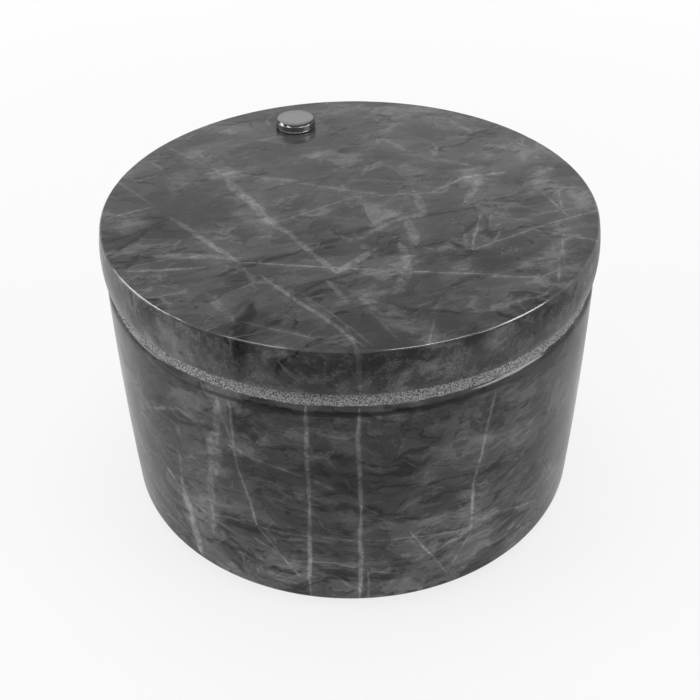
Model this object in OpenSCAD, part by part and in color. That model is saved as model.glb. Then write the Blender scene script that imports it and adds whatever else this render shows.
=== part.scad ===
// Stone salt cellar: a turned marble pot under a flat marble lid that swings aside on a steel pin.
// Millimetres, +Z up. The origin is the middle of the pot, on the surface that its pads stand on.
// The pin stands at the back, on the +Y side. Rims, edges and fits are worked out from the sizes below.

/* [Pot] */
// Diameter of the pot
pot_d = 108; // [100:1:116]
// Height of the stone, from its underside to its rim
pot_h = 57.6; // [50:0.1:66]
// Thickness of the wall at the rim
wall_t = 20; // [19.4:0.1:23]
// Thickness of the stone under the bowl
floor_t = 10; // [6:0.5:14]
// Slope of the bowl's wall, in degrees
bowl_draft = 2; // [0:0.5:4]
// Radius of the curve from the bowl's wall to its floor
bowl_curve_r = 15; // [6:0.5:20]
// Radius of the rim's inner edge
lip_r = 1.2; // [0.6:0.1:2]
// Height of the honed bevel round the rim
bevel_h = 2.7; // [1.2:0.1:3.5]
// Width of the honed bevel, measured across the rim
bevel_w = 2.7; // [1.2:0.1:3.5]
// Radius of the polished edge below the bevel
shoulder_r = 2.2; // [0.6:0.1:3]
// Radius of the pot's bottom edge
heel_r = 2; // [0.6:0.1:3]
// Height of the pot's widest line above its underside
pot_widest_h = 26; // [22:0.5:32]
// How far the side draws in from its widest line to the farther end
pot_belly = 0.5; // [0.1:0.1:1]

/* [Lid] */
// How far the lid's widest line lies inside the pot's side
lid_setback = 0.06; // [0.02:0.02:1]
// Thickness of the lid
lid_t = 9.8; // [7:0.1:14]
// How far the side draws in from its widest line to the top
lid_belly = 0.8; // [0.3:0.1:1.2]
// Height of the lid's widest line above its underside
lid_widest_h = 3.5; // [2.5:0.1:4]
// Radius of the lid's top edge
lid_top_r = 0.5; // [0.3:0.1:1.5]
// Radius of the lid's bottom edge
lid_bottom_r = 0.5; // [0.2:0.1:1]
// Gap between the pot's rim and the lid
lid_gap = 0.35; // [0.2:0.05:0.8]

/* [Swivel] */
// Distance from the pot's side to the middle of the pin
pin_inset = 13.9; // [13.2:0.1:14.3]
// Diameter of the pin's shank
pin_d = 5; // [4:0.1:5.4]
// Diameter of the pin's head
head_d = 9.7; // [9:0.1:12]
// Thickness of the pin's head
head_t = 1.8; // [1.2:0.1:3]
// Bevel round the top of the head
head_bevel = 0.45; // [0.2:0.05:0.8]
// Diameter of the washer under the head
head_washer_d = 8.9; // [8:0.1:9.4]
// Thickness of the washer under the head
head_washer_t = 0.6; // [0.4:0.1:1]
// Wall of the bush in the lid
bush_wall = 1; // [0.7:0.1:1.3]
// Diameter of the washer between the lid and the pot
thrust_washer_d = 9; // [8.8:0.1:10]
// Thickness of the washer between the lid and the pot
thrust_washer_t = 1; // [0.9:0.1:1.6]
// Wall of the sleeve that holds the pin in the pot
sleeve_wall = 1.3; // [1:0.1:1.6]
// Length of that sleeve
sleeve_l = 22; // [14:0.5:28]
// Thickness of the sleeve's closed end
sleeve_end_t = 1.5; // [1:0.1:3]
// Width of each adhesive groove round the pin
groove_w = 1.2; // [0.6:0.1:1.4]
// Depth of each adhesive groove round the pin
groove_depth = 0.35; // [0.2:0.05:0.5]
// Bevel at the pin's lower end
tip_bevel = 0.6; // [0.3:0.1:1]

/* [Pads] */
// Diameter of a pad
pad_d = 11; // [8:0.5:14]
// Thickness of a pad
pad_t = 1.5; // [1:0.1:3]
// Radius of a pad's lower edge
pad_edge_r = 0.5; // [0.2:0.1:0.8]
// Distance from the pot's side to the middle of a pad
pad_inset = 14; // [10:0.5:20]

/* [Clearances] */
// Adhesive all round the sleeve, the bush and the pin's lower end
glue_gap = 0.05; // [0.03:0.01:0.1]
// Running clearance all round the pin in the bush
running_gap = 0.05; // [0.02:0.01:0.09]
// Play above and below the lid, between the washers
end_play = 0.05; // [0.03:0.01:0.1]
// Clearance all round the pin in each washer
washer_gap = 0.15; // [0.1:0.05:0.3]

/* [Hidden] */
$fn = 128;
// How far a cut runs past the stone that it leaves
overrun = 1;
// Steps along a rounded edge, and along a long curve
edge_steps = 6;
curve_steps = 14;
// The pads stand on a circle, evenly spaced and off the corner that the pin is on
pad_count = 4;
pad_turn = 45;
// Grooves round the pin's lower end
groove_count = 4;

pot_r = pot_d / 2;
pot_z = pad_t;
rim_z = pot_z + pot_h;
bowl_r = pot_r - wall_t;
bowl_z = pot_z + floor_t;
pot_widest_z = pot_z + pot_widest_h;
side_h = max(pot_widest_h, pot_h - pot_widest_h);
side_r = (side_h * side_h + pot_belly * pot_belly) / (2 * pot_belly);
side_x = pot_r - side_r;
heel_turn = asin((pot_widest_h - heel_r) / (side_r - heel_r));
heel_x = side_x + (side_r - heel_r) * cos(heel_turn);
bevel_turn = atan2(bevel_w, bevel_h);
bevel_low_z = rim_z - bevel_h;
shoulder_z = bevel_low_z - shoulder_r * sin(bevel_turn);
shoulder_turn = asin((shoulder_z - pot_widest_z) / (side_r - shoulder_r));
shoulder_x = side_x + (side_r - shoulder_r) * cos(shoulder_turn);
bevel_low_r = shoulder_x + shoulder_r * cos(bevel_turn);

lid_r = pot_r - lid_setback;
lid_z = rim_z + lid_gap;
lid_top_z = lid_z + lid_t;
lid_widest_z = lid_z + lid_widest_h;
lid_upper_h = lid_t - lid_widest_h;
edge_r = (lid_upper_h * lid_upper_h + lid_belly * lid_belly) / (2 * lid_belly);
edge_x = lid_r - edge_r;
edge_top_turn = asin((lid_upper_h - lid_top_r) / (edge_r - lid_top_r));
edge_low_turn = asin((lid_widest_h - lid_bottom_r) / (edge_r - lid_bottom_r));

pin_r = pin_d / 2;
pin_y = pot_r - pin_inset;
bush_bore_r = pin_r + running_gap;
bush_r = bush_bore_r + bush_wall;
head_washer_z = lid_top_z + end_play;
head_z = head_washer_z + head_washer_t;
thrust_top_z = lid_z - end_play;
thrust_z = thrust_top_z - thrust_washer_t;
sleeve_bore_r = pin_r + glue_gap;
sleeve_r = sleeve_bore_r + sleeve_wall;
sleeve_z = thrust_z - sleeve_l;
pin_low_z = sleeve_z + sleeve_end_t + glue_gap;
groove_pitch = (sleeve_l - sleeve_end_t) / (groove_count + 1);

// Points of an arc round a centre, from one angle to another
function arc(x, z, r, from, to, steps) =
    [for (i = [0:steps]) let (a = from + (to - from) * i / steps) [x + r * cos(a), z + r * sin(a)]];

// The same points without the first and the last, for an arc between two others that it runs into
function between(points) = [for (i = [1:len(points) - 2]) points[i]];

// Outline of the turned stone from the middle of its underside, up its side and down into the bowl
function pot_outline() =
    let (lip_z = rim_z - lip_r)
    let (wall_slope = tan(bowl_draft))
    let (curve_top_z = bowl_z + bowl_curve_r * (1 - sin(bowl_draft)))
    let (curve_x = bowl_r - bowl_curve_r * cos(bowl_draft) - wall_slope * (lip_z - curve_top_z))
    concat(
        [[0, pot_z]],
        arc(heel_x, pot_z + heel_r, heel_r, -90, -heel_turn, edge_steps),
        between(arc(side_x, pot_widest_z, side_r, -heel_turn, shoulder_turn, curve_steps)),
        arc(shoulder_x, shoulder_z, shoulder_r, shoulder_turn, bevel_turn, edge_steps),
        [[bevel_low_r - bevel_w, rim_z]],
        arc(bowl_r + lip_r, lip_z, lip_r, 90, 180, edge_steps),
        arc(curve_x, bowl_z + bowl_curve_r, bowl_curve_r, -bowl_draft, -90, curve_steps),
        [[0, bowl_z]]
    );

// Outline of the slab: flat faces, a bellied side, and small rounded edges that run into the belly
function lid_outline() =
    let (low_x = edge_x + (edge_r - lid_bottom_r) * cos(edge_low_turn))
    let (top_x = edge_x + (edge_r - lid_top_r) * cos(edge_top_turn))
    concat(
        [[0, lid_z]],
        arc(low_x, lid_z + lid_bottom_r, lid_bottom_r, -90, -edge_low_turn, edge_steps),
        between(arc(edge_x, lid_widest_z, edge_r, -edge_low_turn, edge_top_turn, curve_steps)),
        arc(top_x, lid_top_z - lid_top_r, lid_top_r, edge_top_turn, 90, edge_steps),
        [[0, lid_top_z]]
    );

// The pin from its tip up: grooves for the adhesive, a plain shank, and the head with its bevelled top
function pin_outline() =
    let (head_r = head_d / 2)
    let (head_top_z = head_z + head_t)
    concat(
        [[0, pin_low_z], [pin_r - tip_bevel, pin_low_z], [pin_r, pin_low_z + tip_bevel]],
        [for (i = [1:groove_count]) let (z = pin_low_z + i * groove_pitch)
            each [[pin_r, z - groove_w / 2], [pin_r - groove_depth, z], [pin_r, z + groove_w / 2]]],
        [[pin_r, head_z], [head_r, head_z], [head_r, head_top_z - head_bevel]],
        [[head_r - head_bevel, head_top_z], [0, head_top_z]]
    );

// A plain ring on the pin's line
module pin_ring(outer_r, inner_r, z, height) {
    translate([0, pin_y, z])
        difference() {
            cylinder(r = outer_r, h = height);
            translate([0, 0, -overrun]) cylinder(r = inner_r, h = height + 2 * overrun);
        }
}

// The bowl is turned out of the block. The wall is drilled for the sleeve, and counterbored for the washer
module pot() {
    color([0.25, 0.25, 0.26])
        difference() {
            rotate_extrude() polygon(pot_outline());
            translate([0, pin_y, thrust_z])
                cylinder(r = thrust_washer_d / 2 + glue_gap, h = rim_z - thrust_z + overrun);
            translate([0, pin_y, sleeve_z - glue_gap])
                cylinder(r = sleeve_r + glue_gap, h = sleeve_l + overrun);
        }
}

module lid() {
    color([0.32, 0.32, 0.33])
        difference() {
            rotate_extrude() polygon(lid_outline());
            translate([0, pin_y, lid_z - overrun]) cylinder(r = bush_r + glue_gap, h = lid_t + 2 * overrun);
        }
}

module pivot_pin() {
    color([0.66, 0.66, 0.67]) translate([0, pin_y, 0]) rotate_extrude() polygon(pin_outline());
}

module head_washer() {
    color([0.74, 0.74, 0.75]) pin_ring(head_washer_d / 2, pin_r + washer_gap, head_washer_z, head_washer_t);
}

module lid_bush() {
    color([0.88, 0.87, 0.82]) pin_ring(bush_r, bush_bore_r, lid_z, lid_t);
}

module thrust_washer() {
    color([0.88, 0.87, 0.82]) pin_ring(thrust_washer_d / 2, pin_r + washer_gap, thrust_z, thrust_washer_t);
}

// A blind sleeve: the pin is bonded into it, and it is bonded into the wall
module anchor_sleeve() {
    color([0.8, 0.79, 0.74])
        translate([0, pin_y, sleeve_z])
            difference() {
                cylinder(r = sleeve_r, h = sleeve_l);
                translate([0, 0, sleeve_end_t]) cylinder(r = sleeve_bore_r, h = sleeve_l);
            }
}

// A pad is stuck flat on the underside, with its lower edge rounded
module foot_pad(i) {
    pad_r = pad_d / 2;
    color([0.12, 0.12, 0.12])
        rotate([0, 0, pad_turn + i * 360 / pad_count])
            translate([pot_r - pad_inset, 0, 0])
                rotate_extrude()
                    polygon(concat(
                        [[0, 0]],
                        arc(pad_r - pad_edge_r, pad_edge_r, pad_edge_r, -90, 0, edge_steps),
                        [[pad_r, pad_t], [0, pad_t]]
                    ));
}

pot();
lid();
pivot_pin();
head_washer();
lid_bush();
thrust_washer();
anchor_sleeve();
foot_pad(1);  // foot_pad_1
foot_pad(2);  // foot_pad_2
foot_pad(3);  // foot_pad_3
foot_pad(4);  // foot_pad_4
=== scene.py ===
from math import atan2, cos, hypot, pi, radians, sin, tan

import bpy
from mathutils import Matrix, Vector, noise


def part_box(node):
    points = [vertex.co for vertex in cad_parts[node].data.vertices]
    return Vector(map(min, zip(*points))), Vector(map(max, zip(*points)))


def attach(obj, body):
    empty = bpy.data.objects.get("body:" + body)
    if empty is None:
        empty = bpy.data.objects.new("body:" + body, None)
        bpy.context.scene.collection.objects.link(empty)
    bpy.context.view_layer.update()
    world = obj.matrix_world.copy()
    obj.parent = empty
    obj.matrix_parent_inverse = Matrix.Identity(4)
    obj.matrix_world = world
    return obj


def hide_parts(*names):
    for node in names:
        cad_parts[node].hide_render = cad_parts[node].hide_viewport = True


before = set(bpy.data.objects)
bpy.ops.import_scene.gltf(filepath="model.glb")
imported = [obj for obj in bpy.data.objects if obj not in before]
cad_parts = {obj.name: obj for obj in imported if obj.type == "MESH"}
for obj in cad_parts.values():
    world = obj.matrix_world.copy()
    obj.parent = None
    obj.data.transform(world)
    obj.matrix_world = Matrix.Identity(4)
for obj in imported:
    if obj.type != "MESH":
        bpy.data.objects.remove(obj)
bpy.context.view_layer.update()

# Pot: one block of charcoal marble, turned and hollowed on a lathe and polished. The wheel leaves the bevel
# round its rim matt and grainy. A hole in its wall takes the swivel's sleeve, and a counterbore round it takes
# a washer. All lengths are in metres, and a name that ends in _mm is in mm.
pot_low, pot_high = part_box("pot")
pot_r = pot_high.x
pot_z = pot_low.z
rim_z = pot_high.z
wall_t = 0.020
floor_t = 0.010
bowl_draft = radians(2)
bowl_curve_r = 0.015
lip_r = 0.0012
bevel_size = 0.0027
shoulder_r = 0.0022
heel_r = 0.002
pot_widest_z = pot_z + 0.026
pot_belly = 0.0005
turning_steps = 360
chip_depth = 0.00022
wear_margin = 0.0006
overrun = 0.001

# Charcoal marble: the body colour, its dark seams, its pale calcite, and the dusty grey of the ground bevel
stone_grey = 0.056
seam_grey = 0.012
calcite_grey = 0.23
ground_grey = 0.37
# The pot was cut with the beds of the stone nearly level
pot_bed_tilt = (radians(-5), radians(3), 0)

# Calcite veins of the pot. Each runs between two places on its side, given as a bearing in degrees and a
# height in mm, and dips in level towards the middle. Then come its width in mm and its strength. Those at
# bearings from -14 to 156 are on the back, which the photograph doesn't show, and are made up.
pot_veins = [
    ((-118, 58), (-118, 30), 0.80, 0.55),
    ((-118, 32), (-119, 3), 0.75, 0.60),
    ((-107.6, 57), (-107.3, 28), 0.75, 0.75),
    ((-107.3, 30), (-107.7, 2), 0.85, 0.70),
    ((-105.8, 12), (-105.6, 3), 0.50, 0.35),
    ((-134.4, 56), (-133.6, 36), 0.50, 0.50),
    ((-133.8, 38), (-129.8, 21), 0.50, 0.52),
    ((-130, 22), (-121, 9), 0.45, 0.45),
    ((-136.9, 54), (-138.2, 43.5), 1.40, 0.45),
    ((-138.6, 45), (-139.9, 33), 3.00, 0.52),
    ((-141, 34), (-143, 14), 1.60, 0.42),
    ((-141, 56), (-136, 49.5), 0.60, 0.40),
    ((-136.3, 50.2), (-134.5, 44.5), 0.70, 0.40),
    ((-150, 33), (-151, 22), 0.80, 0.35),
    ((-150.5, 24), (-148, 4), 1.80, 0.50),
    ((-134.4, 43), (-129.8, 41.4), 0.90, 0.45),
    ((-128.7, 41.1), (-119.3, 38.9), 0.50, 0.45),
    ((-117, 38), (-113.4, 36.1), 0.70, 0.45),
    ((-166, 25.5), (-157, 27.2), 0.40, 0.30),
    ((-158.2, 27.2), (-149, 20.9), 0.50, 0.42),
    ((-149.6, 21.2), (-135.6, 17.4), 0.40, 0.34),
    ((-139, 22), (-116, 22), 0.40, 0.28),
    ((-117, 22), (-98, 21), 0.40, 0.30),
    ((-99, 21.3), (-84, 18.8), 0.40, 0.34),
    ((-131, 18), (-123, 13.8), 0.45, 0.40),
    ((-124, 13.9), (-112, 14.4), 0.45, 0.38),
    ((-113, 14.4), (-99, 10), 0.45, 0.34),
    ((-78.4, 54), (-80.4, 40), 0.60, 0.52),
    ((-80.2, 41), (-82.4, 31), 0.55, 0.55),
    ((-82.3, 32), (-81.6, 16), 0.65, 0.60),
    ((-81.6, 17), (-87, 6.3), 0.60, 0.52),
    ((-96.5, 22.4), (-87, 6.4), 0.45, 0.52),
    ((-82, 20), (-75, 19.6), 0.50, 0.40),
    ((-75.5, 19.8), (-60, 13.5), 0.40, 0.30),
    ((-161, 40.3), (-148, 46.7), 0.60, 0.32),
    ((-149, 46.6), (-143, 45.4), 0.60, 0.36),
    ((-12, 55), (-6, 28), 0.60, 0.45),
    ((-6, 30), (-14, 4), 0.60, 0.40),
    ((8, 22), (26, 18), 0.45, 0.34),
    ((30, 57), (34, 24), 0.80, 0.50),
    ((33, 26), (31, 3), 0.70, 0.45),
    ((62, 56), (52, 20), 0.50, 0.40),
    ((53, 22), (58, 4), 0.50, 0.40),
    ((84, 57), (86, 12), 1.30, 0.45),
    ((88, 50), (70, 33), 0.45, 0.34),
    ((104, 40), (128, 33), 0.45, 0.36),
    ((118, 57), (122, 30), 0.70, 0.50),
    ((121.5, 32), (116, 3), 0.70, 0.45),
    ((150, 56), (146, 18), 0.90, 0.45),
    ((147, 20), (156, 5), 0.50, 0.40),
]
# Cloudy places of the pot, by bearing, height, radius in mm and strength: above 0 pale, below 0 dark
pot_clouds = [
    (-137, 55, 7, 0.35),
    (-141, 36, 8, 0.25),
    (-156, 39, 11, 0.15),
    (-147, 16, 8, 0.10),
    (-114, 15, 12, 0.12),
    (-70, 40, 10, 0.10),
    (-126, 53, 8, -0.20),
    (-95, 50, 13, -0.12),
    (-113, 41, 9, -0.22),
    (-80, 31, 9, 0.18),
    (-99, 28, 11, 0.15),
    (-105, 11, 6, 0.30),
    (-128, 18, 7, -0.12),
    (-82, 24, 14, 0.22),
]


def put(tree, socket, value):
    """Feeds a socket from another one, or writes a plain value into it."""
    if isinstance(value, bpy.types.NodeSocket):
        tree.links.new(value, socket)
    else:
        socket.default_value = value


def step(tree, kind, inputs, **settings):
    """Adds one shader node, sets it up, feeds its inputs and gives back its outputs."""
    made = tree.nodes.new("ShaderNode" + kind)
    for name, value in settings.items():
        setattr(made, name, value)
    for socket, value in inputs.items():
        put(tree, made.inputs[socket], value)
    return made.outputs


def maths(tree, operation, a, b=0.0):
    return step(tree, "Math", {0: a, 1: b}, operation=operation)[0]


def vector(tree, operation, a, b, out="Vector"):
    return step(tree, "VectorMath", {0: a, 1: b}, operation=operation)[out]


def ramp(tree, value, low, high, start=0.0, end=1.0):
    """A smooth step: start up to the value low, end from the value high."""
    inputs = {"Value": value, "From Min": low, "From Max": high, "To Min": start, "To Max": end}
    return step(tree, "MapRange", inputs, interpolation_type="SMOOTHSTEP")[0]


def grain(tree, place, size_mm, detail=3.0, rough=0.5, out=0):
    """Noise whose lumps are about size_mm across, on a place in mm."""
    inputs = {"Vector": place, "Scale": 1 / size_mm, "Detail": detail, "Roughness": rough}
    return step(tree, "TexNoise", inputs)[out]


def start_material(name):
    """An empty material with its shader, and the place on the piece in mm."""
    made = bpy.data.materials.new(name)
    made.use_nodes = True
    tree = made.node_tree
    shader = tree.nodes["Principled BSDF"]
    coordinates = step(tree, "TexCoord", {})["Object"]
    place = vector(tree, "MULTIPLY", coordinates, (1000, 1000, 1000))
    return made, tree, shader, place


def stretch(tree, place, sizes_mm, turn=(0, 0, 0)):
    """A place turned and squeezed, so that noise of size 1 on it has lumps of the given sizes."""
    turned = step(tree, "Mapping", {"Vector": place, "Rotation": turn})[0]
    return vector(tree, "MULTIPLY", turned, tuple(1 / size for size in sizes_mm))


def drift(tree, place, size_mm, reach_mm, detail=2):
    """The place, pushed about by up to reach_mm in swirls of size_mm."""
    swirl = grain(tree, place, size_mm, detail=detail, out=1)
    centred = vector(tree, "SUBTRACT", swirl, (0.5, 0.5, 0.5))
    pushed = vector(tree, "MULTIPLY", centred, (2 * reach_mm, 2 * reach_mm, 2 * reach_mm))
    return vector(tree, "ADD", place, pushed)


def strokes(tree, lumps, gate, start, widest):
    """Long wavy strokes that swell and run out: a level line of one noise, as wide as another allows."""
    off = maths(tree, "ABSOLUTE", maths(tree, "SUBTRACT", lumps, 0.5))
    width = ramp(tree, gate, start, start + 0.3, 0.0005, widest)
    return ramp(tree, off, 0.0, width, 1.0, 0.0)


def node_group(name, inputs, output):
    """A reusable group of shader nodes. Each input is a name, with True where it is a place."""
    group = bpy.data.node_groups.new(name, "ShaderNodeTree")
    for title, is_place in inputs:
        kind = "NodeSocketVector" if is_place else "NodeSocketFloat"
        group.interface.new_socket(title, in_out="INPUT", socket_type=kind)
    group.interface.new_socket(output, in_out="OUTPUT", socket_type="NodeSocketFloat")
    given = group.nodes.new("NodeGroupInput").outputs
    result = group.nodes.new("NodeGroupOutput").inputs[output]
    return group, given, result


# How strongly a flat sheet of calcite shows at a place: a clear core that tapers to its ends, in a faint halo
vein_group, given, result = node_group(
    "vein", [("Place", True), ("Across", True), ("Middle", True), ("Reach", False), ("Width", False),
             ("Strength", False)], "Line")
from_middle = vector(vein_group, "SUBTRACT", given["Place"], given["Middle"])
off = maths(vein_group, "ABSOLUTE", vector(vein_group, "DOT_PRODUCT", from_middle, given["Across"], "Value"))
apart = vector(vein_group, "LENGTH", from_middle, (0, 0, 0), "Value")
apart = maths(vein_group, "DIVIDE", apart, given["Reach"])
swell = maths(vein_group, "MULTIPLY", given["Width"], ramp(vein_group, apart, 0.5, 1.0, 1.0, 0.04))
off = maths(vein_group, "DIVIDE", off, swell)
core = ramp(vein_group, off, 0.2, 1.0, 1.0, 0.0)
halo = ramp(vein_group, off, 0.0, 4.0, 0.22, 0.0)
core = maths(vein_group, "MAXIMUM", core, halo)
core = maths(vein_group, "MULTIPLY", core, ramp(vein_group, apart, 0.8, 1.0, 1.0, 0.0))
put(vein_group, result, maths(vein_group, "MULTIPLY", core, given["Strength"]))

# How strongly a round cloud with a soft edge shows at a place
cloud_group, given, result = node_group(
    "cloud", [("Place", True), ("Middle", True), ("Radius", False), ("Strength", False)], "Shade")
apart = vector(cloud_group, "DISTANCE", given["Place"], given["Middle"], "Value")
apart = maths(cloud_group, "DIVIDE", apart, given["Radius"])
fade = ramp(cloud_group, apart, 0.2, 1.0, 1.0, 0.0)
put(cloud_group, result, maths(cloud_group, "MULTIPLY", fade, given["Strength"]))


def marble(name, bed_tilt, smoky, seam_start, veins, clouds, ground_above_mm, ground_below_mm, dull_below_mm,
           waxed_mm):
    """Polished charcoal marble. A vein is a flat sheet through two places along a dip, given in mm. The stone
    is left ground, not polished, above one height and below another, and its polish is patchy below a third.
    The eased edge between the two heights of waxed_mm has been waxed, by the share given there."""
    made, tree, shader, place = start_material(name)
    swirled = drift(tree, place, 30, 5)
    shaken = drift(tree, drift(tree, place, 14, 0.6), 2.2, 0.25)
    torn = drift(tree, shaken, 4, 1.0, detail=4)
    wandering = drift(tree, shaken, 8, 1.8, detail=4)

    # Cloudy places lean the whole pattern towards pale or dark
    lean = None
    for middle, radius, strength in clouds:
        inputs = {"Place": swirled, "Middle": middle, "Radius": radius, "Strength": strength}
        here = step(tree, "Group", inputs, node_tree=cloud_group)[0]
        lean = here if lean is None else maths(tree, "ADD", lean, here)

    # Plates: the bed broke into angular pieces of several sizes, each with its own tone, and healed again
    crumpled = drift(tree, swirled, 5, 1.5, detail=5)
    big_plate_mm = (13, 9, 6.5)
    big_plates = stretch(tree, crumpled, big_plate_mm, bed_tilt)
    piece = maths(tree, "MULTIPLY", lean, 0.8)
    for plate_mm, share in [(big_plate_mm, 0.45), ((7, 5, 3.4), 0.33), ((3, 2.2, 1.5), 0.22)]:
        plates = stretch(tree, crumpled, plate_mm, bed_tilt)
        own_tone = step(tree, "TexVoronoi", {"Vector": plates, "Scale": 1.0}, feature="F1")["Color"]
        own_tone = step(tree, "SeparateColor", {0: own_tone})[0]
        piece = maths(tree, "ADD", piece, maths(tree, "MULTIPLY", own_tone, share))
    piece_tone = ramp(tree, piece, 0.15, 0.95, 0.62, 1.40)

    # Smoke: pale ragged wisps of three sizes that gather in some places and run out in others
    gather = maths(tree, "ADD", grain(tree, swirled, 15, detail=4), maths(tree, "MULTIPLY", lean, 0.4))
    gather = ramp(tree, gather, 0.38, 0.74, 0.0, smoky)
    smoke = None
    for wisp_mm, share in [((20, 14, 9), 0.50), ((10, 7, 4.6), 0.42), ((4, 3, 2), 0.30)]:
        lumps = grain(tree, stretch(tree, crumpled, wisp_mm, bed_tilt), 1, detail=6, rough=0.58)
        off = maths(tree, "ABSOLUTE", maths(tree, "SUBTRACT", lumps, 0.5))
        wisp = ramp(tree, off, 0.025, 0.07, share, 0.0)
        smoke = wisp if smoke is None else maths(tree, "ADD", smoke, wisp)
    wisps = maths(tree, "MULTIPLY", smoke, gather)
    pale = maths(tree, "ADD", maths(tree, "MULTIPLY", wisps, 0.35), ramp(tree, wisps, 0.10, 0.22, 0.0, 0.17))

    # Cracks filled with calcite, only here and there
    gate = grain(tree, place, 9, detail=2)
    other_gate = grain(tree, swirled, 7, detail=2)
    inputs = {"Vector": big_plates, "Scale": 1.0}
    crack = step(tree, "TexVoronoi", inputs, feature="DISTANCE_TO_EDGE")["Distance"]
    crack_width = ramp(tree, gate, 0.54, 0.74, 0.001, 0.10)
    pale = maths(tree, "MAXIMUM", pale, ramp(tree, crack, 0.0, crack_width, 0.30, 0.0))

    threads = grain(tree, stretch(tree, crumpled, (19, 15, 12), bed_tilt), 1, detail=3, rough=0.5)
    threads = maths(tree, "MULTIPLY", strokes(tree, threads, other_gate, 0.50, 0.022), 0.20)
    pale = maths(tree, "MAXIMUM", pale, threads)

    # Beds: long flat lenses parted by thin dark seams
    beds = grain(tree, stretch(tree, crumpled, (26, 18, 7), bed_tilt), 1, detail=6, rough=0.55)
    fine_beds = grain(tree, stretch(tree, crumpled, (6, 4.5, 1.6), bed_tilt), 1, detail=5, rough=0.65)
    folds = grain(tree, stretch(tree, crumpled, (34, 24, 9), bed_tilt), 1, detail=4, rough=0.5)
    small_folds = grain(tree, stretch(tree, crumpled, (15, 11, 4), bed_tilt), 1, detail=4, rough=0.5)
    seams = strokes(tree, folds, gate, seam_start, 0.050)
    small_seams = strokes(tree, small_folds, other_gate, seam_start + 0.04, 0.045)
    seams = maths(tree, "MULTIPLY", seams, 0.95)
    small_seams = maths(tree, "MULTIPLY", small_seams, 0.75)
    dark = maths(tree, "MAXIMUM", seams, small_seams)
    dark = maths(tree, "MAXIMUM", dark, ramp(tree, beds, 0.42, 0.38, 0.0, 0.30))

    # Sugary places, where bright and dark grains lie side by side. Patchy polish shows more of them
    level = step(tree, "SeparateXYZ", {0: place})["Z"]
    patchy = ramp(tree, level, dull_below_mm, dull_below_mm - 0.5)
    sugar = grain(tree, swirled, 8, detail=5, rough=0.6)
    sugar = ramp(tree, maths(tree, "ADD", sugar, maths(tree, "MULTIPLY", patchy, 0.08)), 0.56, 0.70)
    grains = grain(tree, stretch(tree, place, (0.6, 0.45, 0.45), bed_tilt), 1, detail=2, rough=0.7)
    bright_grains = maths(tree, "MULTIPLY", sugar, ramp(tree, grains, 0.50, 0.66, 0.0, 0.34))
    dark_grains = maths(tree, "MULTIPLY", sugar, ramp(tree, grains, 0.46, 0.32, 0.0, 0.45))
    pale = maths(tree, "MAXIMUM", pale, bright_grains)
    dark = maths(tree, "MAXIMUM", dark, dark_grains)

    # Straight veins of calcite, and dark ones where the strength is below 0
    broken = ramp(tree, grain(tree, place, 2.0, detail=5, rough=0.75), 0.34, 0.64, 0.40, 1.45)
    broad_vein_mm = 1.2
    taper_mm = 1.5
    veined = None
    for start, end, dip, width, strength in veins:
        run = end - start
        across = run.cross(dip).normalized()
        middle = (start + end) / 2
        reach = run.length / 2 + taper_mm
        path = wandering if strength < 0 else torn if width > broad_vein_mm else shaken
        inputs = {"Place": path, "Across": across, "Middle": middle, "Reach": reach, "Width": width,
                  "Strength": abs(strength)}
        line = step(tree, "Group", inputs, node_tree=vein_group)[0]
        if strength < 0:
            dark = maths(tree, "MAXIMUM", dark, line)
        else:
            veined = line if veined is None else maths(tree, "MAXIMUM", veined, line)
    veined = maths(tree, "MULTIPLY", veined, broken)
    pale = maths(tree, "MAXIMUM", pale, maths(tree, "ADD", veined, maths(tree, "MULTIPLY", pale, 0.5)))

    tone = maths(tree, "MULTIPLY", ramp(tree, fine_beds, 0.3, 0.7, 0.92, 1.08), piece_tone)
    lean_tone = step(tree, "MapRange", {"Value": lean, "To Min": 1.0, "To Max": 1.3})[0]
    tone = maths(tree, "MULTIPLY", tone, lean_tone)
    # Painted light: the pot grows paler towards its foot, standing in for light bounced up from the floor
    painted_bounce_tone = ramp(tree, level, 34, 4, 1.0, 1.95)
    tone = maths(tree, "MULTIPLY", tone, painted_bounce_tone)
    speckle = ramp(tree, grain(tree, place, 0.35, detail=2), 0.25, 0.75, 0.86, 1.14)
    grey = step(tree, "Mix", {0: dark, 2: stone_grey, 3: seam_grey}, data_type="FLOAT")[0]
    grey = step(tree, "Mix", {0: pale, 2: grey, 3: calcite_grey}, data_type="FLOAT")[0]
    grey = maths(tree, "MULTIPLY", maths(tree, "MULTIPLY", grey, tone), speckle)

    # Ground stone: dusty, with the pits and scratches of the wheel, and painted shade that darkens it deep
    # under the lid
    height = step(tree, "SeparateXYZ", {0: drift(tree, place, 3, 0.25)})["Z"]
    ground = ramp(tree, height, ground_above_mm - 0.06, ground_above_mm + 0.06)
    ground = maths(tree, "MAXIMUM", ground, ramp(tree, level, ground_below_mm + 0.06, ground_below_mm))
    patches = ramp(tree, grain(tree, place, 4, detail=6, rough=0.7), 0.45, 0.62, 0.0, 0.15)
    patches = maths(tree, "MULTIPLY", patches, patchy)
    ground = maths(tree, "MAXIMUM", ground, patches)
    pits = grain(tree, stretch(tree, place, (0.34, 0.34, 0.2)), 1, detail=3, rough=0.65)
    pit_grey = 0.045
    dust_and_shade = ramp(tree, pits, 0.32, 0.68, pit_grey, 2 * ground_grey - pit_grey)
    # Painted shade: the ground stone darkens towards the rim, where the lid hangs over it
    shade = ramp(tree, level, ground_above_mm + 1.3, ground_above_mm + 1.9, 1.0, 0.4)
    dust_and_shade = maths(tree, "MULTIPLY", dust_and_shade, shade)
    grey = step(tree, "Mix", {0: ground, 2: grey, 3: dust_and_shade}, data_type="FLOAT")[0]
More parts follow.
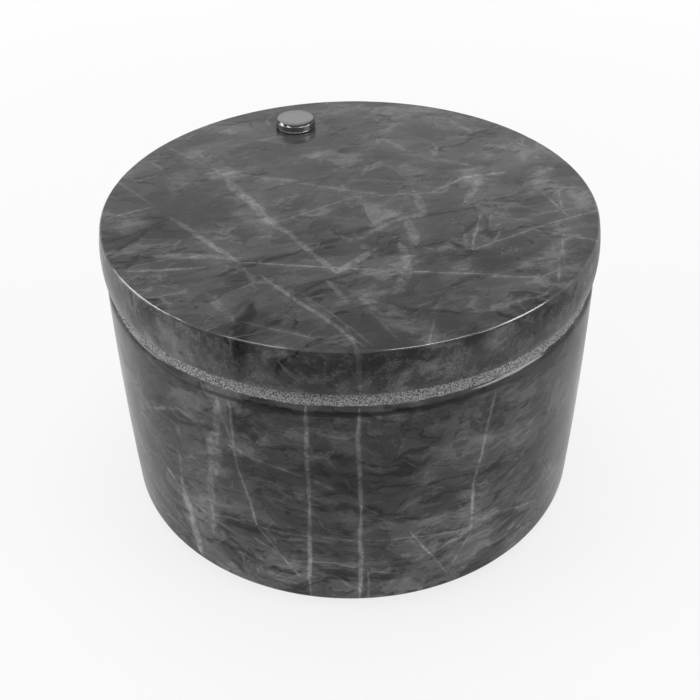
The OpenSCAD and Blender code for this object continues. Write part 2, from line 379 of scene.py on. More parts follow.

    # Painted shade: a thin dark line in the polish a little below the ground bevel, on the side that faces the
    # camera
    painted_dark_line = ramp(tree, height, ground_above_mm - 0.9, ground_above_mm - 1.2)
    painted_line_foot = ramp(tree, height, ground_above_mm - 2.3, ground_above_mm - 1.7, 0.0, 0.7)
    painted_dark_line = maths(tree, "MULTIPLY", painted_dark_line, painted_line_foot)
    shaded_side = (-0.32, -0.95, 0)
    on_shaded_side = vector(tree, "DOT_PRODUCT", place, shaded_side, "Value")
    painted_dark_line = maths(tree, "MULTIPLY", painted_dark_line, ramp(tree, on_shaded_side, 38, 50))
    grey = maths(tree, "MULTIPLY", grey, maths(tree, "SUBTRACT", 1.0, painted_dark_line))
    colour = step(tree, "CombineColor", {0: grey, 1: grey, 2: maths(tree, "MULTIPLY", grey, 1.015)})[0]
    put(tree, shader.inputs["Base Color"], colour)

    smear = ramp(tree, grain(tree, place, 9, detail=4, rough=0.6), 0.3, 0.7, 0.09, 0.17)
    polish = maths(tree, "ADD", smear, maths(tree, "MULTIPLY", veined, 0.10))
    roughness = step(tree, "Mix", {0: ground, 2: polish, 3: 0.85}, data_type="FLOAT")[0]
    put(tree, shader.inputs["Roughness"], roughness)
    shader.inputs["IOR"].default_value = 1.5
    shader.inputs["Specular IOR Level"].default_value = 0.28

    wax_low, wax_high, wax_share = waxed_mm
    wax = ramp(tree, level, wax_low, wax_low + 0.3, 0.0, wax_share)
    wax = maths(tree, "MULTIPLY", wax, ramp(tree, level, wax_high, wax_high - 0.02))
    put(tree, shader.inputs["Coat Weight"], wax)
    shader.inputs["Coat Roughness"].default_value = 0.12

    ripple = grain(tree, place, 6, detail=2)
    relief = maths(tree, "MULTIPLY", ripple, 0.00001)
    relief = maths(tree, "ADD", relief, maths(tree, "MULTIPLY", fine_beds, 0.000003))
    pitted = maths(tree, "MULTIPLY", maths(tree, "MULTIPLY", pits, ground), 0.00012)
    relief = maths(tree, "ADD", relief, pitted)
    bump = step(tree, "Bump", {"Height": relief, "Strength": 1.0, "Distance": 1.0})[0]
    put(tree, shader.inputs["Normal"], bump)
    return made


def arc(x, z, radius, start, end, steps):
    """Points along an arc about (x, z), from one angle to another in radians."""
    angles = [start + (end - start) * i / steps for i in range(steps + 1)]
    return [(x + radius * cos(a), z + radius * sin(a)) for a in angles]


def line(start, end, steps):
    """Points along a straight stretch, without its ends."""
    return [(start[0] + (end[0] - start[0]) * i / steps, start[1] + (end[1] - start[1]) * i / steps)
            for i in range(1, steps)]


def turn(name, outline, centre, steps):
    """Draws a half outline, as distances from the axis and heights, and turns it once round on a lathe."""
    bpy.ops.object.select_all(action="DESELECT")
    first_x, first_z = outline[0]
    bpy.ops.mesh.primitive_plane_add(size=0.01, location=(0, 0, 0))
    piece = bpy.context.object
    piece.name = name
    bpy.ops.object.mode_set(mode="EDIT")
    bpy.ops.mesh.merge(type="CENTER")
    bpy.ops.transform.translate(value=(centre[0] + first_x, centre[1], first_z))
    for (x0, z0), (x1, z1) in zip(outline, outline[1:]):
        bpy.ops.mesh.extrude_region_move(TRANSFORM_OT_translate={"value": (x1 - x0, 0, z1 - z0)})
    bpy.ops.mesh.select_all(action="SELECT")
    bpy.ops.mesh.spin(steps=steps, angle=2 * pi, center=(centre[0], centre[1], 0), axis=(0, 0, 1))
    bpy.ops.mesh.select_all(action="SELECT")
    bpy.ops.mesh.remove_doubles(threshold=0.000002)
    bpy.ops.mesh.normals_make_consistent(inside=False)
    bpy.ops.object.mode_set(mode="OBJECT")
    bpy.ops.object.transform_apply(location=True, rotation=True, scale=True)
    piece.data.name = name
    return piece


def drill(piece, centre, radius, low, high):
    """Cuts a round hole down through a piece."""
    bpy.ops.object.select_all(action="DESELECT")
    bpy.ops.mesh.primitive_cylinder_add(vertices=96, radius=radius, depth=high - low,
                                        location=(centre[0], centre[1], (low + high) / 2))
    cutter = bpy.context.object
    bpy.context.view_layer.objects.active = piece
    cut = piece.modifiers.new("hole", "BOOLEAN")
    cut.operation = "DIFFERENCE"
    cut.object = cutter
    bpy.ops.object.modifier_apply(modifier=cut.name)
    bpy.data.objects.remove(cutter)


def chip(piece, low, high, nearest, depth, seed):
    """Wears the edges between two heights: shallow chips and flats, always inwards, as hand work leaves."""
    for vertex in piece.data.vertices:
        place = vertex.co
        out = hypot(place.x, place.y)
        if low < place.z < high and out > nearest:
            share = sin(pi * (place.z - low) / (high - low))
            wave = 0.5 + 0.5 * noise.noise(place * 90 + Vector((seed, 0, 0)))
            nick = max(0.0, noise.noise(place * 420 + Vector((0, seed, 0))) - 0.25)
            inwards = depth * share * (0.5 * wave + 1.2 * nick)
            place.x -= place.x / out * inwards
            place.y -= place.y / out * inwards


def finish_piece(piece, material, body, nodes, smooth_angle=35):
    """Shades a finished piece, gives it its material and ties it to the frame."""
    bpy.ops.object.select_all(action="DESELECT")
    piece.select_set(True)
    bpy.context.view_layer.objects.active = piece
    bpy.ops.object.shade_smooth_by_angle(angle=radians(smooth_angle))
    piece.data.materials.clear()
    piece.data.materials.append(material)
    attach(piece, body)
    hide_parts(*nodes)


swivel_low, swivel_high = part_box("pivot_pin")
swivel_place = (0.0, (swivel_low.y + swivel_high.y) / 2)
thrust_low, thrust_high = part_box("thrust_washer")
sleeve_low, sleeve_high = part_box("anchor_sleeve")
glue_gap = 0.00005

# The side is one long arc from the heel to the shoulder, widest a little below half its height
side_h = max(pot_widest_z - pot_z, rim_z - pot_widest_z)
side_r = (side_h ** 2 + pot_belly ** 2) / (2 * pot_belly)
side_x = pot_r - side_r
heel_turn = atan2(pot_widest_z - pot_z - heel_r, side_r - heel_r)
heel_x = side_x + (side_r - heel_r) * cos(heel_turn)
bevel_turn = pi / 4
shoulder_z = rim_z - bevel_size - shoulder_r * sin(bevel_turn)
shoulder_turn = atan2(shoulder_z - pot_widest_z, side_r - shoulder_r)
shoulder_x = side_x + (side_r - shoulder_r) * cos(shoulder_turn)
bevel_low = (shoulder_x + shoulder_r * cos(bevel_turn), rim_z - bevel_size)
bevel_top = (bevel_low[0] - bevel_size, rim_z)
bowl_r = pot_r - wall_t
bowl_z = pot_z + floor_t
lip_z = rim_z - lip_r
curve_top_z = bowl_z + bowl_curve_r * (1 - sin(bowl_draft))
curve_x = bowl_r - bowl_curve_r * cos(bowl_draft) - tan(bowl_draft) * (lip_z - curve_top_z)
heel = arc(heel_x, pot_z + heel_r, heel_r, -pi / 2, -heel_turn, 8)
side = arc(side_x, pot_widest_z, side_r, -heel_turn, shoulder_turn, 24)
shoulder = arc(shoulder_x, shoulder_z, shoulder_r, shoulder_turn, bevel_turn, 8)
lip = arc(bowl_r + lip_r, lip_z, lip_r, pi / 2, pi, 6)
bowl_curve = arc(curve_x, bowl_z + bowl_curve_r, bowl_curve_r, -bowl_draft, -pi / 2, 16)
underside = line((0, pot_z), heel[0], 6)
bevel = line(bevel_low, bevel_top, 6)
rim = line(bevel_top, lip[0], 8)
bowl_wall = line(lip[-1], bowl_curve[0], 10)
bowl_floor = line(bowl_curve[-1], (0, bowl_z), 4)
pot_outline = [(0, pot_z)] + underside + heel + side[1:-1] + shoulder + bevel + [bevel_top] + rim + lip
pot_outline += bowl_wall + bowl_curve + bowl_floor + [(0, bowl_z)]

pot = turn("turned_pot", pot_outline, (0, 0), turning_steps)
chip(pot, rim_z - bevel_size - wear_margin, rim_z + 0.0002, bowl_r + 0.004, chip_depth, 3)
thrust_r = (thrust_high.x - thrust_low.x) / 2
sleeve_r = (sleeve_high.x - sleeve_low.x) / 2
drill(pot, swivel_place, thrust_r + glue_gap, thrust_low.z, rim_z + overrun)
drill(pot, swivel_place, sleeve_r + glue_gap, sleeve_low.z - glue_gap, thrust_low.z + overrun / 2)


def on_side(bearing, height, radius_mm):
    return Vector((radius_mm * cos(radians(bearing)), radius_mm * sin(radians(bearing)), height))


pot_sheets = []
for start, end, width, strength in pot_veins:
    first = on_side(*start, pot_r * 1000)
    last = on_side(*end, pot_r * 1000)
    inwards = -(first + last)
    inwards.z = 0
    pot_sheets.append((first, last, inwards.normalized(), width, strength))
pot_places = [(on_side(bearing, height, pot_r * 1000), radius, strength)
              for bearing, height, radius, strength in pot_clouds]
bevel_low_mm = (rim_z - bevel_size) * 1000
below_the_pot_mm = -1
pot_wax_mm = (bevel_low_mm - 1.4, bevel_low_mm, 0.4)
pot_marble = marble("pot marble", pot_bed_tilt, 0.6, 0.30, pot_sheets, pot_places, bevel_low_mm,
                    below_the_pot_mm, below_the_pot_mm, pot_wax_mm)
finish_piece(pot, pot_marble, "pot", ["pot"])

# Lid: a round slab sawn from the same block, as wide as the pot, with a slightly bellied side and edges eased
# by hand. It is polished on top and round its side, and ground flat underneath, with one hole for the bush.
lid_low, lid_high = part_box("lid")
lid_r = lid_high.x
lid_z = lid_low.z
lid_top_z = lid_high.z
lid_belly = 0.0008
lid_widest_z = lid_z + 0.0035
lid_top_edge_r = 0.0005
lid_low_edge_r = 0.0005
lid_top_mm = lid_top_z * 1000
lid_low_mm = lid_z * 1000
lid_chip_depth = 0.00018
# The slab was sawn across the beds, so they show as long streaks on its top
lid_bed_tilt = (radians(-58), radians(3), 0)

# Veins of the lid, between places on its top in mm. They dip straight down. Then come the width in mm and the
# strength: above 0 pale, below 0 dark
lid_veins = [
    ((-48, 32), (-40, 12), 0.60, 0.30),
    ((-38, 7), (-28.5, -15.5), 1.20, 0.45),
    ((-26, -21), (-14.2, -50.5), 0.80, 0.45),
    ((-20, -30), (-13, -49.5), 0.40, 0.36),
    ((-26, 36), (-22.5, 18), 0.60, 0.25),
    ((-23, 20), (-17, -8), 1.90, 0.50),
    ((-17.4, -4), (-11.5, -26), 1.20, 0.42),
    ((-50, 11), (-41, 12.5), 0.50, 0.34),
    ((-18, -3.3), (2, 1.8), 0.35, 0.38),
    ((1, 1.7), (22, -3.4), 0.40, 0.34),
    ((-8, 12), (8, 0), 0.60, 0.26),
    ((19, -2.2), (28, 1.6), 0.70, 0.50),
    ((27, 1.6), (37, 0.6), 1.00, 0.55),
    ((-29, -15.2), (-1.5, -28.5), 0.40, 0.42),
    ((-2, -28.3), (28, -42.4), 0.35, 0.38),
    ((17, -27.3), (33, -23.6), 0.50, 0.38),
    ((32, -23.8), (50, -22), 0.45, 0.34),
    ((27.4, -43), (34.5, -32), 0.50, 0.34),
    ((-25, 21), (-19, 22), 1.60, 0.40),
    ((-18, 35), (-5, 36), 0.80, 0.30),
    ((-32, 40), (-25, 27), 0.70, 0.24),
    ((-19, 20), (-8, 13), 1.40, 0.24),
    ((-44, -7), (-28, -14), 1.50, 0.34),
    ((-50, -11), (-35, -15), 0.70, 0.36),
    ((-37, -24), (-34, -34), 1.50, 0.30),
    ((-33, -35), (-23, -44), 0.50, 0.30),
    ((-10, -39), (-8, -50), 0.50, 0.22),
    ((0, -47), (-3, -52), 0.50, 0.34),
    ((31, 0), (23, -9), 1.60, 0.42),
    ((15, -1), (13, -10), 1.50, 0.38),
    ((13, -10), (6, -11.5), 1.30, 0.40),
    ((9, -12), (7, -21), 1.70, 0.34),
    ((4, -20), (2, -30), 1.80, 0.42),
    ((2, -29), (-3, -36), 1.70, 0.40),
    ((-2, -36), (-9, -35), 1.40, 0.38),
    ((-6, -13), (-3, -19), 1.30, 0.30),
    ((24, -15), (20, -22), 0.50, 0.34),
    ((20, -21.5), (17, -27), 0.50, 0.34),
    ((27, -17), (33, -21), 0.50, 0.32),
    ((41, -9), (41, -22), 0.45, 0.26),
    ((46, -8), (41, -20), 0.45, 0.24),
    ((47, -13), (50, -16), 0.40, 0.26),
    ((40, 14), (46, 10), 1.60, 0.36),
    ((37, 30), (39, 22), 1.80, 0.34),
    ((42, -3), (48, -2), 1.50, 0.36),
    ((21, 16), (32, 6), 1.40, 0.24),
    ((22, -39.8), (15.5, -37.3), 0.50, 0.32),
    ((25.8, -40.6), (31.2, -39.5), 0.50, 0.30),
    ((31, -39.8), (35.3, -29.9), 0.50, 0.36),
    ((35, -30.2), (39, -29.5), 0.45, 0.30),
    ((31.8, -24.5), (41.7, -32.6), 0.45, 0.32),
    ((33.5, -19), (45, -19.6), 0.45, 0.28),
    ((5.8, -11.3), (-4.5, -15.7), 1.20, 0.34),
    ((-1.8, -20.1), (-11, -25.3), 1.50, 0.38),
    ((24.6, 1.7), (21.3, -2.8), 0.90, 0.30),
    ((-13.9, -28.4), (-13, -35.4), 1.30, 0.30),
    ((-10.3, -35.2), (-8.8, -40.5), 1.30, 0.30),
    ((-15.5, -42), (-16.5, -62), 0.70, 0.38),
    ((12, -47.8), (19.5, -46.8), 3.00, 0.22),
    ((-34, -18.5), (-17, -15.7), 1.10, -0.85),
    ((-18.5, -16), (6, -10.8), 1.00, -0.85),
    ((4, -11), (22, -11.6), 0.90, -0.80),
    ((20, -11.4), (40, -13), 0.90, -0.75),
    ((-53, -5), (-42, 4.2), 1.00, -0.85),
    ((-52.5, 1.2), (-37, 6), 0.90, -0.75),
    ((-42, 2.4), (-34, -1), 0.80, -0.55),
    ((-17, 11.2), (0, 12.8), 0.80, -0.60),
    ((-21.5, -30.6), (-6, -25.2), 0.80, -0.65),
    ((25.2, -15), (22, -22.5), 0.90, -0.60),
    ((-30.5, -31), (-37, -44), 2.40, -1.00),
    ((5, -21), (15.4, -23.6), 0.90, -0.75),
    ((14.6, -23.5), (24, -16), 0.90, -0.75),
    ((-9.5, -39), (5.2, -46.3), 1.00, -0.80),
    ((4.4, -46.1), (22, -46), 0.80, -0.50),
]
# Cloudy places of the lid, by place and height in mm, radius and strength
lid_clouds = [
    (41, 11, 69, 12, 0.30),
    (30, 2, 69, 8, 0.30),
    (46, -10, 69, 10, 0.25),
    (7, -9, 69, 8, 0.20),
    (0, -26, 69, 9, 0.35),
    (-8, -36, 69, 6, 0.25),
    (10, -33, 69, 7, 0.25),
    (-10, -27, 69, 6, 0.30),
    (-31, -12, 69, 9, 0.20),
    (-23, 23, 69, 6, 0.25),
    (20, -42, 69, 7, 0.15),
    (-40, -25, 69, 8, 0.10),
    (-10, -53, 65, 4, 0.50),
    (38, -4, 69, 5, -0.35),
    (20, -32, 69, 6, -0.35),
    (-36, 8, 69, 14, -0.45),
    (-13, -50, 68, 9, -0.60),
    (46, -18, 69, 9, 0.25),
    (-3, -18, 69, 7, -0.25),
    (14, 16, 69, 9, -0.20),
    (-34, -36, 69, 4, -0.60),
    (-13, -6, 69, 8, -0.25),
    (1, -47, 69, 6, -0.25),
    (-42, -15, 69, 7, -0.20),
    (-23, -49, 64, 7, -0.60),
    (-32, 27, 69, 13, -0.22),
    (-10, 29, 69, 14, -0.38),
    (50, 2, 69, 14, 0.18),
    (-28, -34, 69, 12, -0.15),
    (8, 27, 69, 9, -0.32),
    (-20, 13, 69, 6, -0.20),
    (-24, -27, 69, 6, -0.22),
    (2, -22, 69, 6, -0.22),
    (27, 5, 69, 6, -0.20),
    (-6, 18, 69, 8, -0.20),
    (-49, -3, 69, 6, 0.22),
    (-12, 44, 69, 7, 0.28),
    (-46, 9, 69, 8, 0.25),
    (39, -27, 69, 7, 0.28),
    (34, -38, 69, 6, -0.20),
    (-3, -53.5, 64, 9, 0.22),
    (10, -53, 64, 9, 0.22),
    (-44, -31, 64, 8, 0.22),
]

lid_upper_h = lid_top_z - lid_widest_z
edge_r = (lid_upper_h ** 2 + lid_belly ** 2) / (2 * lid_belly)
edge_x = lid_r - edge_r
edge_top_turn = atan2(lid_upper_h - lid_top_edge_r, edge_r - lid_top_edge_r)
edge_low_turn = atan2(lid_widest_z - lid_z - lid_low_edge_r, edge_r - lid_low_edge_r)
low_x = edge_x + (edge_r - lid_low_edge_r) * cos(edge_low_turn)
top_x = edge_x + (edge_r - lid_top_edge_r) * cos(edge_top_turn)
low_edge = arc(low_x, lid_z + lid_low_edge_r, lid_low_edge_r, -pi / 2, -edge_low_turn, 6)
lid_side = arc(edge_x, lid_widest_z, edge_r, -edge_low_turn, edge_top_turn, 14)
top_edge = arc(top_x, lid_top_z - lid_top_edge_r, lid_top_edge_r, edge_top_turn, pi / 2, 8)
lid_outline = [(0, lid_z)] + line((0, lid_z), low_edge[0], 12) + low_edge + lid_side[1:-1] + top_edge
lid_outline += line(top_edge[-1], (0, lid_top_z), 12) + [(0, lid_top_z)]

lid = turn("lid_slab", lid_outline, (0, 0), turning_steps)
worn_beyond_r = lid_r - 0.003
chip(lid, lid_top_z - lid_top_edge_r, lid_top_z + wear_margin, worn_beyond_r, lid_chip_depth, 11)
chip(lid, lid_z - wear_margin, lid_z + 0.0008, worn_beyond_r, lid_chip_depth, 17)
bush_low, bush_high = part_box("lid_bush")
bush_r = (bush_high.x - bush_low.x) / 2
drill(lid, swivel_place, bush_r + glue_gap, lid_z - overrun, lid_top_z + overrun)

down = Vector((0, 0, -1))
lid_sheets = [(Vector((*start, lid_top_mm)), Vector((*end, lid_top_mm)), down, width, strength)
              for start, end, width, strength in lid_veins]
lid_places = [(Vector((x, y, z)), radius, strength) for x, y, z, radius, strength in lid_clouds]
above_the_lid_mm = lid_top_mm + 5
lid_wax_mm = (lid_top_mm - 0.7, lid_top_mm - 0.01, 1.0)
lid_marble = marble("lid marble", lid_bed_tilt, 0.48, 0.46, lid_sheets, lid_places, above_the_lid_mm,
                    lid_low_mm + 0.02, lid_top_mm - 0.4, lid_wax_mm)
finish_piece(lid, lid_marble, "lid", ["lid"])

# Pivot pin: turned from stainless bar, with a flat polished head whose top edge is bevelled. Four grooves
# near its lower end hold the adhesive that bonds it in its sleeve.
pin_r = 0.0025
pin_tip = 0.0006
pin_head_t = 0.0018
pin_head_bevel = 0.00045
groove_w = 0.0012
groove_depth = 0.00035
groove_pitch = 0.0041
groove_count = 4
pin_turning_steps = 128
pin_low_z = swivel_low.z
head_top_z = swivel_high.z
head_low_z = head_top_z - pin_head_t
head_r = (swivel_high.x - swivel_low.x) / 2

grooves = []
for i in range(1, groove_count + 1):
    groove_z = pin_low_z + i * groove_pitch
    grooves += [(pin_r, groove_z - groove_w / 2), (pin_r - groove_depth, groove_z)]
    grooves += [(pin_r, groove_z + groove_w / 2)]
ease = 0.00008
pin_bevel_z = head_top_z - pin_head_bevel
pin_face_r = head_r - pin_head_bevel - ease
pin_outline = [(0, pin_low_z), (pin_r - pin_tip, pin_low_z), (pin_r, pin_low_z + pin_tip)] + grooves
pin_outline += [(pin_r, head_low_z), (head_r - ease, head_low_z), (head_r, head_low_z + ease)]
pin_outline += [(head_r, pin_bevel_z - ease / 2), (head_r - ease / 3, pin_bevel_z)]
pin_outline += [(head_r - pin_head_bevel, head_top_z - ease / 3), (pin_face_r, head_top_z)]
pin_outline += [(head_r * 0.6, head_top_z), (0, head_top_z)]
pin = turn("turned_pin", pin_outline, swivel_place, pin_turning_steps)


def turned_steel(name, grey, roughness, ring_mm, ring_depth, face_r):
    """Stainless steel with the fine rings that a lathe tool leaves about the swivel's line. Painted shade
    darkens its colour on the bevel beyond face_r, which is also sharper, and darkens it less round the side of
    the head, which is duller."""
    made, tree, shader, place = start_material(name)
    centred = vector(tree, "SUBTRACT", place, (swivel_place[0] * 1000, swivel_place[1] * 1000, 0))
    flat = vector(tree, "MULTIPLY", centred, (1, 1, 0))
    out = vector(tree, "LENGTH", flat, (0, 0, 0), "Value")
    height = step(tree, "SeparateXYZ", {0: place})["Z"]
    along = step(tree, "CombineXYZ", {"X": out, "Y": height})[0]
    rings = grain(tree, along, ring_mm, detail=3, rough=0.6)
    scratches = grain(tree, place, 0.6, detail=4, rough=0.7)
    face_mm = face_r * 1000
    shade = ramp(tree, scratches, 0.3, 0.7, 0.88 * grey, 1.06 * grey)
    side_mm = head_r * 1000
    # Painted shade: the colour is darkened on the bevel, and darkened less round the side of the head
    shade = maths(tree, "MULTIPLY", shade, ramp(tree, out, face_mm, face_mm + 0.1, 1.0, 0.30))
    shade = maths(tree, "MULTIPLY", shade, ramp(tree, out, side_mm - 0.06, side_mm - 0.01, 1.0, 2.4))
    colour = step(tree, "CombineColor", {0: shade, 1: shade, 2: maths(tree, "MULTIPLY", shade, 1.01)})[0]
    put(tree, shader.inputs["Base Color"], colour)
    wear = ramp(tree, scratches, 0.25, 0.75, 0.8 * roughness, 1.3 * roughness)
    wear = maths(tree, "MULTIPLY", wear, ramp(tree, out, face_mm, face_mm + 0.1, 1.0, 0.4))
    wear = maths(tree, "MULTIPLY", wear, ramp(tree, out, side_mm - 0.06, side_mm - 0.01, 1.0, 4.0))
    put(tree, shader.inputs["Roughness"], wear)
    relief = maths(tree, "MULTIPLY", rings, ring_depth)
    bump = step(tree, "Bump", {"Height": relief, "Strength": 1.0, "Distance": 1.0})[0]
    put(tree, shader.inputs["Normal"], bump)
    shader.inputs["Metallic"].default_value = 1.0
    return made


pin_steel = turned_steel("polished steel", 0.30, 0.22, 0.12, 0.000002, pin_face_r)
finish_piece(pin, pin_steel, "pot", ["pivot_pin"], 20)

# Washer under the head: stamped from stainless sheet, a little smaller than the head, with its edges tumbled.
# It lies between the head and the lid, where it shows as a thin bright ring.
ring_low, ring_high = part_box("head_washer")
washer_r = (ring_high.x - ring_low.x) / 2
washer_gap = 0.00015
washer_edge = 0.0002
washer_bore_r = pin_r + washer_gap


def ring_outline(inner_r, outer_r, low_z, high_z, edge):
    """The cut face of a plain ring with eased edges, closed on itself."""
    corners = [(inner_r + edge, low_z), (outer_r - edge, low_z), (outer_r, low_z + edge)]
    corners += [(outer_r, high_z - edge), (outer_r - edge, high_z), (inner_r + edge, high_z)]
    corners += [(inner_r, high_z - edge), (inner_r, low_z + edge)]
    return corners + corners[:1]


washer_outline = ring_outline(washer_bore_r, washer_r, ring_low.z, ring_high.z, washer_edge)
washer = turn("steel_washer", washer_outline, swivel_place, pin_turning_steps)
washer_steel = turned_steel("washer steel", 0.62, 0.28, 0.3, 0.000001, head_r)
finish_piece(washer, washer_steel, "pot", ["head_washer"], 50)


def moulded(name, grey, warmth, roughness):
    """Plain plastic or rubber with a dull, finely mottled skin."""
    made, tree, shader, place = start_material(name)
    mottle = ramp(tree, grain(tree, place, 1.6, detail=4, rough=0.6), 0.3, 0.7, 0.9 * grey, 1.08 * grey)
    green = maths(tree, "MULTIPLY", mottle, 1 - warmth / 3)
    blue = maths(tree, "MULTIPLY", mottle, 1 - warmth)
    colour = step(tree, "CombineColor", {0: mottle, 1: green, 2: blue})[0]
    put(tree, shader.inputs["Base Color"], colour)
    skin = grain(tree, place, 0.25, detail=3, rough=0.6)
    put(tree, shader.inputs["Roughness"], ramp(tree, skin, 0.3, 0.7, 0.85 * roughness, 1.1 * roughness))
    relief = maths(tree, "MULTIPLY", skin, 0.00001)
    bump = step(tree, "Bump", {"Height": relief, "Strength": 1.0, "Distance": 1.0})[0]
    put(tree, shader.inputs["Normal"], bump)
    return made


nylon = moulded("natural nylon", 0.68, 0.10, 0.5)
nylon_edge = 0.00015
running_gap = 0.00005

# Lid bush: a plain nylon sleeve bonded in the lid's hole, which turns on the pin. It keeps the steel from
# grinding in the stone.
bush_outline = ring_outline(pin_r + running_gap, bush_r, bush_low.z, bush_high.z, nylon_edge)
bush = turn("nylon_bush", bush_outline, swivel_place, pin_turning_steps)
finish_piece(bush, nylon, "lid", ["lid_bush"], 50)

# Thrust washer: a nylon washer let into the rim round the pin. It carries the lid just clear of the pot, so
# that stone doesn't rub on stone.
thrust_outline = ring_outline(washer_bore_r, thrust_r, thrust_low.z, thrust_high.z, nylon_edge)
thrust = turn("nylon_thrust_washer", thrust_outline, swivel_place, pin_turning_steps)
finish_piece(thrust, nylon, "pot", ["thrust_washer"], 50)

# Anchor sleeve: a nylon sleeve bonded in the pot's wall and closed at its foot. The pin's lower end is bonded
# in it.
sleeve_bore_r = pin_r + glue_gap
sleeve_end_t = 0.0015
sleeve_edge = 0.0003
sleeve_floor_z = sleeve_low.z + sleeve_end_t
sleeve_outline = [(0, sleeve_low.z), (sleeve_r - sleeve_edge, sleeve_low.z)]
sleeve_outline += [(sleeve_r, sleeve_low.z + sleeve_edge), (sleeve_r, sleeve_high.z)]
sleeve_outline += [(sleeve_bore_r, sleeve_high.z), (sleeve_bore_r, sleeve_floor_z), (0, sleeve_floor_z)]
sleeve = turn("nylon_sleeve", sleeve_outline, swivel_place, pin_turning_steps)
sleeve_nylon = moulded("sleeve nylon", 0.60, 0.12, 0.55)
finish_piece(sleeve, sleeve_nylon, "pot", ["anchor_sleeve"], 50)

# Foot pads: four discs of matt black rubber, stuck under the pot so that the stone neither slides nor
# scratches what it stands on.
rubber = moulded("black rubber", 0.022, 0.03, 0.8)
pad_edge_r = 0.0005
for i in range(1, 5):
    pad_low, pad_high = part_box("foot_pad_%d" % i)
    pad_middle = (pad_low + pad_high) / 2
    pad_r = (pad_high.x - pad_low.x) / 2
    foot = arc(pad_r - pad_edge_r, pad_low.z + pad_edge_r, pad_edge_r, -pi / 2, 0, 6)
    pad_outline = [(0, pad_low.z), (pad_r * 0.6, pad_low.z)] + foot + [(pad_r, pad_high.z), (0, pad_high.z)]
    pad = turn("rubber_pad_%d" % i, pad_outline, (pad_middle.x, pad_middle.y), 96)
    finish_piece(pad, rubber, "pot", ["foot_pad_%d" % i], 40)

# Studio: a pale floor, a large soft lamp overhead, one lamp at each side, a faint wide one behind, and five
# strips that show in reflections alone. To the camera the far floor and the world are plain white.
bpy.ops.object.select_all(action="DESELECT")
bpy.ops.mesh.primitive_circle_add(vertices=96, radius=4.0, fill_type="NGON", location=(0, 0, 0))
floor = bpy.context.object
floor.name = "studio_floor"
towards_camera = (-0.32, -0.95, 0)
towards_right = (0.94, 0.34, 0)
floor_material = bpy.data.materials.new("studio floor")
floor_material.use_nodes = True
tree = floor_material.node_tree
tree.nodes.remove(tree.nodes["Principled BSDF"])
paper = step(tree, "BsdfDiffuse", {"Color": (0.8, 0.8, 0.8, 1)})[0]
spot = step(tree, "TexCoord", {})["Object"]
far = ramp(tree, vector(tree, "LENGTH", spot, (0, 0, 0), "Value"), 0.10, 0.45)
glow = step(tree, "Emission", {"Color": (1, 1, 1, 1), "Strength": 1.0})[0]
path = step(tree, "LightPath", {})
seen = maths(tree, "MAXIMUM", path["Is Camera Ray"], path["Is Transmission Ray"])
seen = maths(tree, "MAXIMUM", seen, maths(tree, "MULTIPLY", path["Is Glossy Ray"], 0.27))
lit = maths(tree, "MULTIPLY", seen, step(tree, "MapRange", {"Value": far, "To Min": 0.80, "To Max": 1.0})[0])
blend = step(tree, "MixShader", {0: lit, 1: paper, 2: glow})[0]
# The light runs out towards the camera and to the right, which polished stone shows as a darker reflection
towards = vector(tree, "DOT_PRODUCT", spot, towards_camera, "Value")
dim = ramp(tree, towards, 0.10, 0.20, 0.15, 0.85)
rightwards = vector(tree, "DOT_PRODUCT", spot, towards_right, "Value")
dim = maths(tree, "MAXIMUM", dim, ramp(tree, rightwards, 0.02, 0.14, 0.0, 0.48))
dim = maths(tree, "MULTIPLY", dim, path["Is Glossy Ray"])
gloom = step(tree, "Emission", {"Color": (1, 1, 1, 1), "Strength": 0.05})[0]
blend = step(tree, "MixShader", {0: dim, 1: blend, 2: gloom})[0]
put(tree, tree.nodes["Material Output"].inputs["Surface"], blend)
floor.data.materials.append(floor_material)

world = bpy.data.worlds.new("studio")
bpy.context.scene.world = world
world.use_nodes = True
tree = world.node_tree
path = step(tree, "LightPath", {})
seen = maths(tree, "MAXIMUM", path["Is Camera Ray"], path["Is Glossy Ray"])
seen = maths(tree, "MAXIMUM", seen, path["Is Transmission Ray"])
strength = step(tree, "MapRange", {"Value": seen, "To Min": 0.24, "To Max": 0.66})[0]
# The camera itself sees the world as plain white, beyond the floor's edge too
strength = maths(tree, "MAXIMUM", strength, path["Is Camera Ray"])
put(tree, tree.nodes["Background"].inputs["Strength"], strength)
put(tree, tree.nodes["Background"].inputs["Color"], (1, 1, 1, 1))


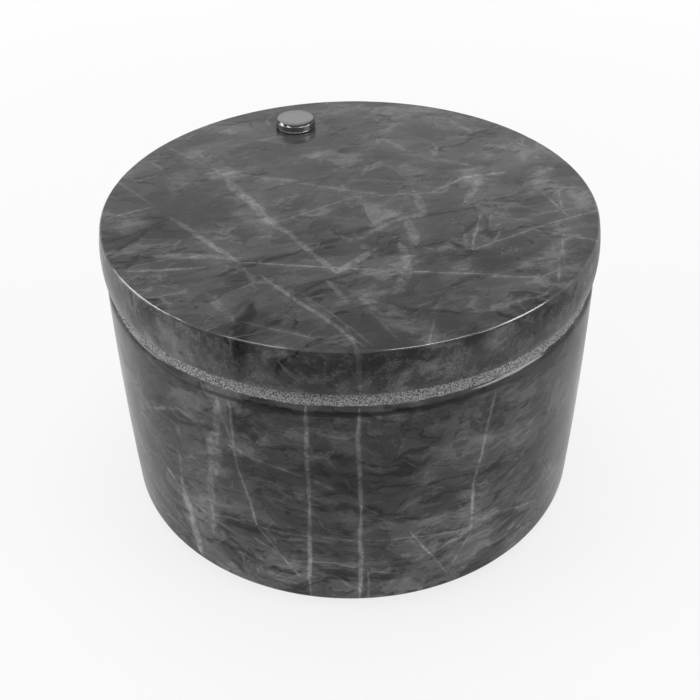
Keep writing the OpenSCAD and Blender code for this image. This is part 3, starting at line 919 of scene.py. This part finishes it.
def softbox(name, place, aim, width, height, power):
    """A flat rectangular lamp turned towards a place."""
    lamp = bpy.data.lights.new(name, "AREA")
    lamp.shape = "RECTANGLE"
    lamp.size = width
    lamp.size_y = height
    lamp.energy = power
    holder = bpy.data.objects.new(name, lamp)
    holder.location = place
    holder.rotation_euler = (Vector(aim) - Vector(place)).to_track_quat("-Z", "Y").to_euler()
    bpy.context.scene.collection.objects.link(holder)
    return holder


middle = (0, 0, 0.04)
overhead = softbox("overhead", (0.05, 0.10, 0.85), middle, 0.6, 0.5, 4.4)
overhead.visible_glossy = False
# Seen from the right, the polished lid would mirror this lamp as a burnt-out patch
left_side = softbox("left side", (-0.74, 0.12, 0.35), middle, 0.5, 0.22, 2.4)
left_side.visible_glossy = False
softbox("right side", (0.58, -0.48, 0.35), middle, 0.45, 0.2, 1.9)
softbox("behind", (0.39, 1.13, 0.62), middle, 1.8, 0.24, 0.45)
# Narrow strips that draw a bright line along the polished edges and shed no light on the stone
strips = [
    softbox("left strip", (-0.58, 0.39, 0.55), middle, 0.56, 0.16, 2.6),
    softbox("low left strip", (-0.70, 0.40, 0.32), middle, 0.42, 0.22, 1.0),
    softbox("right strip", (0.64, -0.33, 0.56), middle, 0.32, 0.16, 2.6),
    softbox("front left strip", (-0.47, -0.20, 0.65), middle, 0.30, 0.12, 1.0),
    softbox("front right strip", (0.18, -0.50, 0.65), middle, 0.42, 0.12, 2.2),
]
for strip in strips:
    strip.visible_diffuse = False

# Camera: where the photograph was taken from, with the photograph's own proportions of near and far. Its
# place, turn and lens come from the perspective fit to the lid's and the pot's outlines.
camera_data = bpy.data.cameras.new("camera")
camera_data.sensor_width = 36
camera_data.lens = 51.43
camera_data.clip_start = 0.01
camera = bpy.data.objects.new("camera", camera_data)
camera.location = (-0.06165, -0.18120, 0.17543)
camera.rotation_euler = (radians(52.533), radians(0.681), radians(-19.218))
bpy.context.scene.collection.objects.link(camera)
bpy.context.scene.camera = camera
bpy.context.scene.view_settings.view_transform = "Standard"
